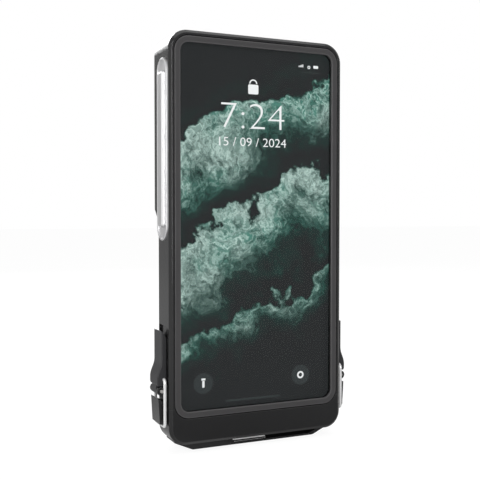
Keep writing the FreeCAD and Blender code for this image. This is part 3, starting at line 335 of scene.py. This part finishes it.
def swirled_place(tree, place):
    """The picture's own coordinates: turned, so that crests rise to the right, and swirled."""
    shift, tilt = (0.012, 0, -0.094), math.radians(31)
    swirl_size, swirl_reach = 30 * MM, 0.07
    turned = add(tree, "ShaderNodeMapping", {
        "Vector": place, "Location": shift, "Rotation": (0, tilt, 0)})
    swirl = add(tree, "ShaderNodeTexNoise", {
        "Vector": turned.outputs["Vector"], "Scale": 1 / swirl_size, "Detail": 6.0,
        "Roughness": 0.55})
    push = add(tree, "ShaderNodeVectorMath", {0: swirl.outputs["Color"], 1: (0.5, 0.5, 0.5)},
               operation="SUBTRACT")
    reach = add(tree, "ShaderNodeVectorMath", {0: push.outputs[0], "Scale": swirl_reach},
                operation="SCALE")
    bent = add(tree, "ShaderNodeVectorMath", {0: turned.outputs["Vector"], 1: reach.outputs[0]},
               operation="ADD")
    return bent.outputs[0]


def pale_water(tree, bent):
    """How much pale water shows: sharp crests that fade downwards, over part of the picture."""
    crest_spacing, puff_size = 36 * MM, 5 * MM
    top, top_fade, base, base_fade = 58 * MM, 30 * MM, -70 * MM, -20 * MM
    ramp = add(tree, "ShaderNodeTexWave", {"Vector": bent, "Scale": WAVE_LENGTH / crest_spacing},
               wave_type="BANDS", bands_direction="Z", wave_profile="SAW")
    brink = add(tree, "ShaderNodeMapRange", {
        "Value": ramp.outputs["Fac"], "From Min": 1.0, "From Max": 0.9},
        interpolation_type="SMOOTHSTEP")
    crests = add(tree, "ShaderNodeMath", {0: ramp.outputs["Fac"], 1: brink.outputs[0]},
                 operation="MULTIPLY")
    spray = add(tree, "ShaderNodeTexNoise", {
        "Vector": bent, "Scale": 1 / puff_size, "Detail": 8.0, "Roughness": 0.7})
    puff = add(tree, "ShaderNodeMapRange", {
        "Value": spray.outputs["Fac"], "From Min": 0.3, "From Max": 0.7,
        "To Min": 0.3, "To Max": 1.3})
    height = add(tree, "ShaderNodeSeparateXYZ", {0: bent})
    above = add(tree, "ShaderNodeMapRange", {
        "Value": height.outputs["Z"], "From Min": top, "From Max": top_fade},
        interpolation_type="SMOOTHSTEP")
    below = add(tree, "ShaderNodeMapRange", {
        "Value": height.outputs["Z"], "From Min": base, "From Max": base_fade},
        interpolation_type="SMOOTHSTEP")
    field = add(tree, "ShaderNodeMath", {0: above.outputs[0], 1: below.outputs[0]},
                operation="MULTIPLY")
    body = add(tree, "ShaderNodeMath", {0: crests.outputs[0], 1: puff.outputs[0]},
               operation="MULTIPLY")
    water = add(tree, "ShaderNodeMath", {0: body.outputs[0], 1: field.outputs[0]},
                operation="MULTIPLY")
    return water.outputs[0]


def foam_lines(tree, bent, water):
    """Fine ridged threads, only where the water is pale."""
    thread_spacing = 4 * MM
    threads = add(tree, "ShaderNodeTexNoise", {
        "Vector": bent, "Scale": 1 / thread_spacing, "Detail": 5.0, "Roughness": 0.6,
        "Lacunarity": 2.3, "Offset": 0.9, "Gain": 2.0},
        noise_type="RIDGED_MULTIFRACTAL", normalize=True)
    fine = add(tree, "ShaderNodeMapRange", {
        "Value": threads.outputs["Fac"], "From Min": 0.7, "From Max": 1.3, "To Max": 0.75})
    lit = add(tree, "ShaderNodeMapRange", {"Value": water, "From Min": 0.35, "From Max": 1.0})
    lines = add(tree, "ShaderNodeMath", {0: fine.outputs[0], 1: lit.outputs[0]},
                operation="MULTIPLY")
    return lines.outputs[0]


def lit_picture(name, look, middle):
    """Lit display: crests of pale water rise to the right over a dark ground. The back is unlit."""
    mist_size = 22 * MM
    finish, tree = new_finish(name)
    place = add(tree, "ShaderNodeTexCoord").outputs["Object"]
    bent = swirled_place(tree, place)
    water = pale_water(tree, bent)
    lines = foam_lines(tree, bent, water)
    mist = add(tree, "ShaderNodeTexNoise", {"Vector": place, "Scale": 1 / mist_size, "Detail": 2.0})
    greyer = add(tree, "ShaderNodeMapRange", {
        "Value": mist.outputs["Fac"], "From Min": 0.42, "From Max": 0.62})
    first = add(tree, "ShaderNodeMapRange", {"Value": water, "From Min": 0.05, "From Max": 0.3})
    second = add(tree, "ShaderNodeMapRange", {"Value": water, "From Min": 0.22, "From Max": 0.75})
    hue = add(tree, "ShaderNodeMix", {
        "Factor": greyer.outputs[0], "A": shade(look.mid), "B": shade(look.pale)}, data_type="RGBA")
    ground = add(tree, "ShaderNodeMix", {
        "Factor": first.outputs[0], "A": shade(look.dark), "B": shade(look.deep)}, data_type="RGBA")
    sea = add(tree, "ShaderNodeMix", {
        "Factor": second.outputs[0], "A": ground.outputs["Result"], "B": hue.outputs["Result"]},
        data_type="RGBA")
    foam = add(tree, "ShaderNodeMix", {
        "Factor": lines, "A": sea.outputs["Result"], "B": shade(look.light)}, data_type="RGBA")
    depth = add(tree, "ShaderNodeSeparateXYZ", {0: place})
    front = add(tree, "ShaderNodeMath", {0: depth.outputs["Y"], 1: middle}, operation="LESS_THAN")
    shown = add(tree, "ShaderNodeMix", {
        "Factor": front.outputs[0], "A": BLACK, "B": foam.outputs["Result"]}, data_type="RGBA")
    shader = add(tree, "ShaderNodeBsdfPrincipled", {
        "Base Color": UNLIT, "Roughness": 0.3, "Specular IOR Level": 0.1,
        "Emission Color": shown.outputs["Result"], "Emission Strength": 1.0,
    })
    end_finish(tree, shader)
    return finish


def lit_mark(name, tint):
    """Lit part of the display, very slightly softer towards its lower end."""
    low, high = 20 * MM, 160 * MM
    finish, tree = new_finish(name)
    place = add(tree, "ShaderNodeTexCoord").outputs["Object"]
    height = add(tree, "ShaderNodeSeparateXYZ", {0: place})
    fade = add(tree, "ShaderNodeMapRange", {
        "Value": height.outputs["Z"], "From Min": low, "From Max": high,
        "To Min": 0.9, "To Max": 1.0})
    tone = add(tree, "ShaderNodeMix", {
        "Factor": fade.outputs[0], "A": BLACK, "B": shade(tint)}, data_type="RGBA")
    shader = add(tree, "ShaderNodeBsdfPrincipled", {
        "Base Color": UNLIT, "Roughness": 0.4, "Specular IOR Level": 0.1,
        "Emission Color": tone.outputs["Result"], "Emission Strength": 1.0,
    })
    end_finish(tree, shader)
    return finish


def coat(nodes, finish):
    """Give CAD nodes a finish."""
    for name in nodes:
        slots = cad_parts[name].material_slots
        if not slots:
            raise RuntimeError(f"{name} has no material slot")
        for slot in slots:
            slot.material = finish


def finished_piece(name, work, finish, body):
    """Turn a bmesh into a piece that rides on a body."""
    bmesh.ops.recalc_face_normals(work, faces=work.faces)
    mesh = bpy.data.meshes.new(name)
    work.to_mesh(mesh)
    work.free()
    mesh.materials.append(finish)
    piece = bpy.data.objects.new(name, mesh)
    bpy.context.scene.collection.objects.link(piece)
    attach(piece, body)


class FinishMouldings(bpy.types.Operator):
    """Give housing, cap, foot, bezel, ring and levers their moulded finishes"""

    bl_idname = "phone_case.finish_mouldings"
    bl_label = "Finish Mouldings"

    def execute(self, context):
        look = context.scene.phone_case_finish
        # satin polycarbonate from a spark-eroded tool: dark, with broad soft reflections
        coat(["housing_shell", "end_cap", "mount_foot"],
             moulding("satin polycarbonate", look.shell, look.grain,
                      gloss=0.2, level=0.42, relief=0.25, edge=0.5 * MM))
        # matt polycarbonate frame, lighter and duller than the housing
        coat(["front_bezel"],
             moulding("matt bezel moulding", look.bezel, look.grain,
                      gloss=0.35, level=0.35, relief=0.2, edge=0.8 * MM))
        # glass-filled nylon: a little uneven, its edges catch the light
        coat(["latch_lever_left", "latch_lever_right"],
             moulding("glass filled nylon", look.lever, look.grain,
                      gloss=0.4, level=0.3, relief=0.3, edge=0.25 * MM))
        # hard anodised ring: nearly black, with an even low sheen
        coat(["camera_ring"],
             moulding("anodised ring", look.ring, look.grain,
                      gloss=0.3, level=0.5, relief=0.1, edge=0.1 * MM))
        return {"FINISHED"}


class FinishPanes(bpy.types.Operator):
    """Make the touch window and the camera window clear"""

    bl_idname = "phone_case.finish_panes"
    bl_label = "Finish Panes"

    def execute(self, context):
        # clear polyurethane film with an anti-glare coat: it hardly mirrors the room
        coat(["touch_window"], clear_pane("clear touch film", linear("#fbfcfc"), index=1.12))
        # coated mineral glass: clear, with a weak clean reflection
        coat(["camera_window"], clear_pane("coated glass", linear("#f4faf8"), index=1.3))
        return {"FINISHED"}


class FinishRubber(bpy.types.Operator):
    """Give seals, sheets and cushions their rubber"""

    bl_idname = "phone_case.finish_rubber"
    bl_label = "Finish Rubber"

    def execute(self, context):
        look = context.scene.phone_case_finish
        # moulded silicone rubber: black and dull, with no clear reflection
        coat(["window_gasket", "camera_gasket", "cap_gasket", "key_membrane_left",
              "key_membrane_right", "cap_pad", "back_pad"],
             moulded_rubber("silicone rubber", look.rubber))
        return {"FINISHED"}


class FinishMetal(bpy.types.Operator):
    """Give keys, pins, screws, bush and bails their metals"""

    bl_idname = "phone_case.finish_metal"
    bl_label = "Finish Metal"

    def execute(self, context):
        look = context.scene.phone_case_finish
        # The real lines and grains are finer, and are drawn as coarse as they need to show.
        # aluminium, blasted to a satin and then clear anodised: pale, with a soft glow
        coat(["key_plate_left", "push_bar", "key_plate_right", "power_button"],
             fine_metal("satin anodised aluminium", look.key_metal,
                        gloss=0.4, line=0.4 * MM, across=(1, 1, 0.05)))
        # stainless steel, turned: bright, with small sharp reflections
        coat(["foot_screws", "pivot_pin_left", "pivot_pin_right"],
             fine_metal("turned stainless steel", look.steel,
                        gloss=0.28, line=0.4 * MM, across=(1, 1, 1)))
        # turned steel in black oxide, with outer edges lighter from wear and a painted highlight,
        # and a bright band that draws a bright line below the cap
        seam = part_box("end_cap")[0][2]
        coat(["tripod_bush"], blackened_steel("blackened steel", look.blackened, look.wire, seam))
        # drawn steel wire, bright zinc plated, which looks slightly milky
        coat(["wire_bail_left", "wire_bail_right"],
             fine_metal("zinc plated wire", look.wire,
                        gloss=0.22, line=0.5 * MM, across=(1, 1, 0.1), bare=0.5))
        return {"FINISHED"}


def stand_up(work, faces, x, z, level):
    """Turn flat faces to the front, move them to their place and give them a thin edge."""
    verts = list({vert for face in faces for vert in face.verts})
    upright = Matrix.Rotation(math.radians(90), 3, "X")
    bmesh.ops.rotate(work, cent=(0, 0, 0), matrix=upright, verts=verts)
    bmesh.ops.translate(work, vec=(x, level, z), verts=verts)
    moved = bmesh.ops.extrude_face_region(work, geom=faces)["geom"]
    lifted = [item for item in moved if isinstance(item, bmesh.types.BMVert)]
    bmesh.ops.translate(work, vec=(0, -MARK_THICK, 0), verts=lifted)


def flat_spot(work, x, z, wide, high, corner, level):
    """Add a flat plate with rounded corners that faces the front.

    Places and sizes are in millimetres, and the level is in metres.
    """
    made = bmesh.ops.create_grid(work, x_segments=1, y_segments=1, size=0.5)["verts"]
    bmesh.ops.scale(work, vec=(wide * MM, high * MM, 1), verts=made)
    if corner > 0:
        made = bmesh.ops.bevel(work, geom=made, offset=corner * MM, segments=6, profile=0.5,
                               affect="VERTICES", material=-1)["verts"]
    faces = list({face for vert in made for face in vert.link_faces})
    stand_up(work, faces, x * MM, z * MM, level)


def flat_ring(work, x, z, inner, outer, level, turn=FULL_TURN):
    """Add a flat ring, or its upper part, that faces the front.

    Places and sizes are in millimetres, and the level is in metres.
    """
    spots = [work.verts.new((outer * MM, 0, 0)), work.verts.new((inner * MM, 0, 0))]
    edge = work.edges.new(spots)
    before = set(work.faces)
    bmesh.ops.spin(work, geom=[*spots, edge], cent=(0, 0, 0), axis=(0, 0, 1), angle=turn, steps=40,
                   use_merge=turn == FULL_TURN)
    made = [face for face in work.faces if face not in before]
    stand_up(work, made, x * MM, z * MM, level)


class DressDisplay(bpy.types.Operator):
    """Light the display: a picture of pale water, a clock and a few plain marks"""

    bl_idname = "phone_case.dress_display"
    bl_label = "Dress Display"

    def execute(self, context):
        look = context.scene.phone_case_display
        low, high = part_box("screen_panel")
        # lit panel: the picture glows evenly and shows no grain of its own
        coat(["screen_panel"], lit_picture("lit display", look, (low[1] + high[1]) / 2))
        level = low[1] - MARK_GAP
        # the panel's own light, white for the clock and dark grey for the buttons
        glow = lit_mark("lit marks", look.mark)
        dim = lit_mark("dim marks", look.dim)
        self.digits("display_clock", look.clock, glow, level, thinner=0.022,
                    wide=look.clock_width, high=look.clock_height, z=147.2 * MM)
        self.digits("display_day", look.day, glow, level, thinner=0.005,
                    wide=33 * MM, high=3.8 * MM, z=135.8 * MM)
        self.padlock(glow, level)
        self.status(glow, level)
        self.lines(dim, level)
        self.buttons(glow, dim, level)
        return {"FINISHED"}

    def digits(self, name, body, finish, level, thinner, wide, high, z):
        """Digits, made a mesh and fitted to their width and height."""
        letters = bpy.data.curves.new(name, "FONT")
        letters.body = body
        letters.offset = -thinner
        holder = bpy.data.objects.new(name, letters)
        bpy.context.scene.collection.objects.link(holder)
        ready = holder.evaluated_get(bpy.context.evaluated_depsgraph_get())
        flat = bpy.data.meshes.new_from_object(ready)
        bpy.data.objects.remove(holder)
        work = bmesh.new()
        work.from_mesh(flat)
        bpy.data.meshes.remove(flat)
        bpy.data.curves.remove(letters)
        corners = [vert.co.copy() for vert in work.verts]
        left, right = min(c.x for c in corners), max(c.x for c in corners)
        base, top = min(c.y for c in corners), max(c.y for c in corners)
        bmesh.ops.translate(work, vec=(-(left + right) / 2, -(base + top) / 2, 0), verts=work.verts)
        bmesh.ops.scale(work, vec=(wide / (right - left), high / (top - base), 1), verts=work.verts)
        stand_up(work, list(work.faces), MARK_MIDDLE * MM, z, level)
        finished_piece(name, work, finish, "case")

    def padlock(self, glow, level):
        """Closed padlock above the clock."""
        work = bmesh.new()
        flat_spot(work, MARK_MIDDLE, 159.3, wide=5.0, high=4.3, corner=0.6, level=level)
        flat_ring(work, MARK_MIDDLE, 161.8, inner=1.4, outer=1.95, level=level, turn=math.pi)
        finished_piece("display_lock", work, glow, "case")

    def status(self, glow, level):
        """Four rising bars, a ring and a plate in the upper right corner."""
        work = bmesh.new()
        for step in range(4):
            flat_spot(work, 21.6 + step * 0.65, 171.3 + step * 0.12,
                      wide=0.42, high=0.6 + step * 0.24, corner=0, level=level)
        flat_ring(work, 26.7, 171.2, inner=0.35, outer=0.75, level=level)
        flat_spot(work, 30.3, 171.5, wide=2.5, high=1.3, corner=0.3, level=level)
        finished_piece("display_status", work, glow, "case")

    def lines(self, dim, level):
        """Dim lines below the status marks and at the lower edge."""
        work = bmesh.new()
        flat_spot(work, 27.5, 168.8, wide=9.5, high=0.4, corner=0.15, level=level)
        flat_spot(work, MARK_MIDDLE, 20.6, wide=27.0, high=0.9, corner=0.4, level=level)
        finished_piece("display_lines", work, dim, "case")

    def buttons(self, glow, dim, level):
        """Two round buttons in the lower corners, each with a plain symbol."""
        left, right, row = -25.6, 22.6, 29.3
        work = bmesh.new()
        for x in (left, right):
            flat_ring(work, x, row, inner=0.01, outer=4.6, level=level)
        finished_piece("display_buttons", work, dim, "case")
        work = bmesh.new()
        above = level - SYMBOL_LIFT
        flat_spot(work, left, 29.0, wide=1.1, high=3.0, corner=0.3, level=above)
        flat_spot(work, left, 31.1, wide=1.9, high=0.9, corner=0.2, level=above)
        flat_ring(work, right, row, inner=0.9, outer=1.7, level=above)
        finished_piece("display_symbols", work, glow, "case")


def mirror_mask(tree):
    """The light path, and whether what is seen is a mirror image or lies behind glass."""
    seen = add(tree, "ShaderNodeLightPath")
    mask = add(tree, "ShaderNodeMath", {
        0: seen.outputs["Is Glossy Ray"], 1: seen.outputs["Is Transmission Ray"]},
        operation="MAXIMUM")
    return seen, mask.outputs[0]


def room(tree, direction, stage):
    """How bright the studio looks in a reflection, by the way that it lies in."""
    # x or y of a direction of length 1, between which one wall gives way to the next
    rear_end, corner_start = -0.16, 0.0
    front_end, rear_start = -0.3, 0.4
    middle_end, left_start = -0.6, -0.85
    way = add(tree, "ShaderNodeSeparateXYZ", {0: direction})
    rear = add(tree, "ShaderNodeMapRange", {
        "Value": way.outputs["X"], "From Min": rear_end, "From Max": corner_start,
        "To Min": stage.rear_wall, "To Max": stage.rear_corner},
        interpolation_type="SMOOTHSTEP")
    middle = add(tree, "ShaderNodeMapRange", {
        "Value": way.outputs["Y"], "From Min": front_end, "From Max": rear_start,
        "To Min": stage.front_wall, "To Max": rear.outputs[0]},
        interpolation_type="SMOOTHSTEP")
    whole = add(tree, "ShaderNodeMapRange", {
        "Value": way.outputs["X"], "From Min": middle_end, "From Max": left_start,
        "To Min": middle.outputs[0], "To Max": stage.left_wall},
        interpolation_type="SMOOTHSTEP")
    return whole.outputs[0]


class BuildStage(bpy.types.Operator):
    """Set up the floor, the world, the lamps and the camera"""

    bl_idname = "phone_case.build_stage"
    bl_label = "Build Stage"

    def execute(self, context):
        stage = context.scene.phone_case_stage
        context.scene.view_settings.view_transform = "Standard"
        self.floor(stage)
        self.world(context, stage)
        for name, (place, size) in LAMPS.items():
            self.lamp(name.replace("_", " "), place, size, getattr(stage, name))
        self.camera(context, stage)
        return {"FINISHED"}

    def floor(self, stage):
        """Pale floor that stays near white but keeps the object's shadow."""
        half_width, tint = 6, (0.86, 0.86, 0.86, 1)
        # share of its own light, which keeps the floor near white, and that light's level
        own_share, own_level = 0.8, 1.13
        # painted shadow: reflections see the floor darker round the case's foot, and the case's
        # lower edges mirror that
        shade_near, shade_far, shade_depth = 0.04, 0.3, 0.62
        work = bmesh.new()
        bmesh.ops.create_grid(work, x_segments=1, y_segments=1, size=half_width)
        mesh = bpy.data.meshes.new("floor")
        work.to_mesh(mesh)
        work.free()
        finish, tree = new_finish("pale floor")
        seen, mirrored = mirror_mask(tree)
        any_ray = add(tree, "ShaderNodeMath", {0: mirrored, 1: seen.outputs["Is Camera Ray"]},
                      operation="MAXIMUM")
        share = add(tree, "ShaderNodeMath", {0: any_ray.outputs[0], 1: own_share},
                    operation="MULTIPLY")
        place = add(tree, "ShaderNodeTexCoord").outputs["Object"]
        way = add(tree, "ShaderNodeVectorMath", {0: place}, operation="NORMALIZE")
        away = add(tree, "ShaderNodeVectorMath", {0: place}, operation="LENGTH")
        # painted shadow round the foot, applied only to the floor's level in reflections
        clear = add(tree, "ShaderNodeMapRange", {
            "Value": away.outputs["Value"], "From Min": shade_near, "From Max": shade_far,
            "To Min": shade_depth, "To Max": 1.0})
        walls = room(tree, way.outputs[0], stage)
        walls_with_painted_shadow = add(tree, "ShaderNodeMath", {0: walls, 1: clear.outputs[0]},
                     operation="MULTIPLY")
        level = add(tree, "ShaderNodeMix", {
            "Factor": mirrored, "A": own_level, "B": walls_with_painted_shadow.outputs[0]}, data_type="FLOAT")
        matt = add(tree, "ShaderNodeBsdfDiffuse", {"Color": tint})
        glow = add(tree, "ShaderNodeEmission", {
            "Color": WHITE, "Strength": level.outputs["Result"]})
        both = add(tree, "ShaderNodeMixShader", {
            0: share.outputs[0], 1: matt.outputs[0], 2: glow.outputs[0]})
        end_finish(tree, both)
        mesh.materials.append(finish)
        floor = bpy.data.objects.new("floor", mesh)
        bpy.context.scene.collection.objects.link(floor)

    def world(self, context, stage):
        """White background, even soft light on the object, and a grey room in reflections."""
        world = bpy.data.worlds.new("studio")
        context.scene.world = world
        world.use_nodes = True
        tree = world.node_tree
        tree.nodes.clear()
        seen, mirrored = mirror_mask(tree)
        direction = add(tree, "ShaderNodeTexCoord").outputs["Generated"]
        soft = add(tree, "ShaderNodeMix", {
            "Factor": mirrored, "A": stage.fill, "B": room(tree, direction, stage)},
            data_type="FLOAT")
        level = add(tree, "ShaderNodeMix", {
            "Factor": seen.outputs["Is Camera Ray"], "A": soft.outputs["Result"], "B": 1.0},
            data_type="FLOAT")
        sky = add(tree, "ShaderNodeBackground", {
            "Color": WHITE, "Strength": level.outputs["Result"]})
        add(tree, "ShaderNodeOutputWorld", {"Surface": sky.outputs[0]})

    def lamp(self, name, place, size, watts):
        """A soft rectangular lamp that faces the middle of the case."""
        data = bpy.data.lights.new(name, "AREA")
        data.shape = "RECTANGLE"
        data.size, data.size_y = size
        data.energy = watts
        lamp = bpy.data.objects.new(name, data)
        lamp.location = place
        lamp.rotation_euler = (Vector(LAMP_AIM) - Vector(place)).to_track_quat("-Z", "Y").to_euler()
        bpy.context.scene.collection.objects.link(lamp)

    def camera(self, context, stage):
        """Camera at the photograph's place, angle and focal length."""
        data = bpy.data.cameras.new("camera")
        data.lens = stage.lens
        data.sensor_width = 36
        data.clip_start = 0.01
        camera = bpy.data.objects.new("camera", data)
        camera.location = CAMERA_PLACE
        camera.rotation_euler = [math.radians(angle) for angle in CAMERA_TURN]
        context.scene.collection.objects.link(camera)
        context.scene.camera = camera


OPERATORS = (FinishMouldings, FinishPanes, FinishRubber, FinishMetal, DressDisplay, BuildStage)


class PhoneCasePanel(bpy.types.Panel):
    """Lists the sizes, the colours and the steps"""

    bl_idname = "VIEW3D_PT_phone_case"
    bl_label = "Phone Case"
    bl_space_type = "VIEW_3D"
    bl_region_type = "UI"
    bl_category = "Phone Case"

    def draw(self, context):
        scene = context.scene
        for group in (scene.phone_case_finish, scene.phone_case_display, scene.phone_case_stage):
            box = self.layout.box()
            for name in group.__annotations__:
                box.prop(group, name)
        for operator in OPERATORS:
            self.layout.operator(operator.bl_idname)


CLASSES = (PhoneCaseFinish, PhoneCaseDisplay, PhoneCaseStage, *OPERATORS, PhoneCasePanel)


def register():
    for item in CLASSES:
        bpy.utils.register_class(item)
    bpy.types.Scene.phone_case_finish = bpy.props.PointerProperty(type=PhoneCaseFinish)
    bpy.types.Scene.phone_case_display = bpy.props.PointerProperty(type=PhoneCaseDisplay)
    bpy.types.Scene.phone_case_stage = bpy.props.PointerProperty(type=PhoneCaseStage)


def unregister():
    del bpy.types.Scene.phone_case_stage
    del bpy.types.Scene.phone_case_display
    del bpy.types.Scene.phone_case_finish
    for item in reversed(CLASSES):
        bpy.utils.unregister_class(item)


def main():
    """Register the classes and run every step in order."""
    register()
    bpy.ops.phone_case.finish_mouldings()
    bpy.ops.phone_case.finish_panes()
    bpy.ops.phone_case.finish_rubber()
    bpy.ops.phone_case.finish_metal()
    bpy.ops.phone_case.dress_display()
    bpy.ops.phone_case.build_stage()


if __name__ == "__main__":
    main()
